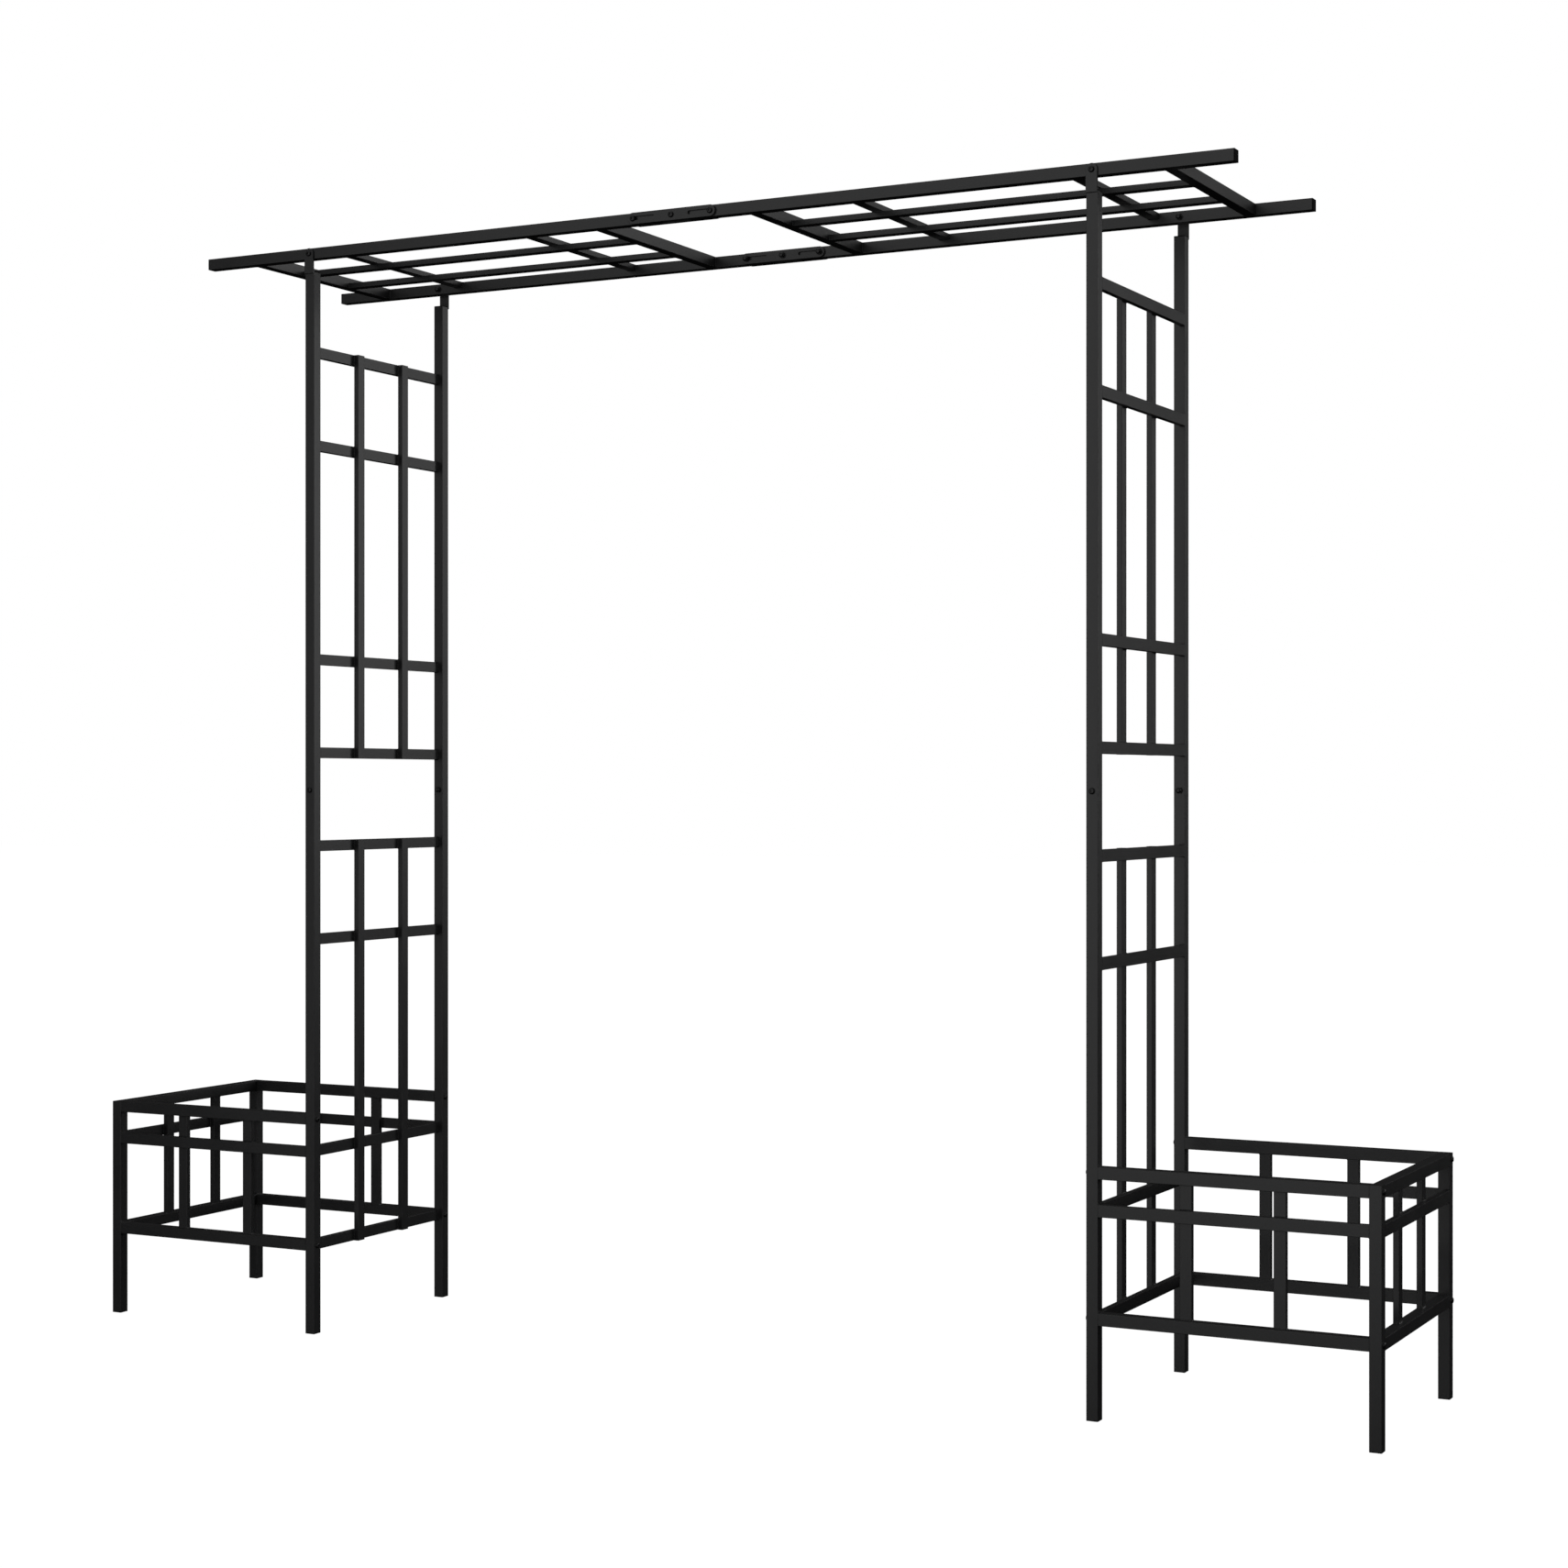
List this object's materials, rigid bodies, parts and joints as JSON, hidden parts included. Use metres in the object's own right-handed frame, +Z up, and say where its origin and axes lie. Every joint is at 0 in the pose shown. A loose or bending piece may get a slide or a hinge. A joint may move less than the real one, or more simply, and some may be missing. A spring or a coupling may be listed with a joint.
{
  "type": "garden arch",
  "caption": "Flat-topped garden arch of black square tube: ladder sides and roof for climbing plants, open planter frames at the feet, and a slotted splice that sets the span.",
  "frame": {"origin": "on the ground under the middle of the archway, at the middle of the arch's width and depth", "axes": "+X along the arch's width to the right planter, +Y from front to back through the archway's depth, +Z up"},
  "size_m": [2.4756, 0.4506, 2],
  "materials": {
    "powder_coat": "satin powder coat",
    "fasteners": "satin black coating",
    "plugs": "moulded, matt"
  },
  "bodies": {
    "left_half": {"left_back_leg": "powder_coat", "left_back_lower_post": "powder_coat", "left_back_rails": "powder_coat", "left_back_roof_rail": "powder_coat", "left_back_upper_post": "powder_coat", "left_cap_nuts": "fasteners", "left_end_plugs": "plugs", "left_end_rails": "powder_coat", "left_foot_plugs": "plugs", "left_frame_bolts": "fasteners", "left_front_leg": "powder_coat", "left_front_lower_post": "powder_coat", "left_front_rails": "powder_coat", "left_front_roof_rail": "powder_coat", "left_front_upper_post": "powder_coat", "left_joint_sleeves": "powder_coat", "left_ladder_bars": "powder_coat", "left_leg_caps": "powder_coat", "left_lower_rungs": "powder_coat", "left_mid_rails": "powder_coat", "left_planter_bars": "powder_coat", "left_planter_bolts": "fasteners", "left_rail_nuts": "fasteners", "left_roof_cross_slats": "powder_coat", "left_roof_cross_tubes": "powder_coat", "left_roof_long_slats": "powder_coat", "left_tabs": "powder_coat", "left_upper_rungs": "powder_coat"},
    "right_half": {"right_back_leg": "powder_coat", "right_back_lower_post": "powder_coat", "right_back_rails": "powder_coat", "right_back_roof_rail": "powder_coat", "right_back_upper_post": "powder_coat", "right_cap_nuts": "fasteners", "right_end_plugs": "plugs", "right_end_rails": "powder_coat", "right_foot_plugs": "plugs", "right_frame_bolts": "fasteners", "right_front_leg": "powder_coat", "right_front_lower_post": "powder_coat", "right_front_rails": "powder_coat", "right_front_roof_rail": "powder_coat", "right_front_upper_post": "powder_coat", "right_joint_sleeves": "powder_coat", "right_ladder_bars": "powder_coat", "right_leg_caps": "powder_coat", "right_lower_rungs": "powder_coat", "right_mid_rails": "powder_coat", "right_planter_bars": "powder_coat", "right_planter_bolts": "fasteners", "right_rail_nuts": "fasteners", "right_roof_cross_slats": "powder_coat", "right_roof_cross_tubes": "powder_coat", "right_roof_long_slats": "powder_coat", "right_tabs": "powder_coat", "right_upper_rungs": "powder_coat"},
    "splice": {"centre_bolts": "fasteners", "centre_nuts": "fasteners", "centre_spacers": "powder_coat", "splice_plates": "powder_coat"}
  },
  "joints": [
    {"name": "span_slide", "type": "slide", "parent": "left_half", "child": "right_half", "axis": [1, 0, 0], "range_m": [-0.052, 0]},
    {"name": "plate_slide", "type": "slide", "parent": "left_half", "child": "splice", "axis": [1, 0, 0], "range_m": [-0.026, 0]}
  ],
  "couplings": [
    {"joint": "plate_slide", "follows": "span_slide", "ratio": 0.5}
  ]
}
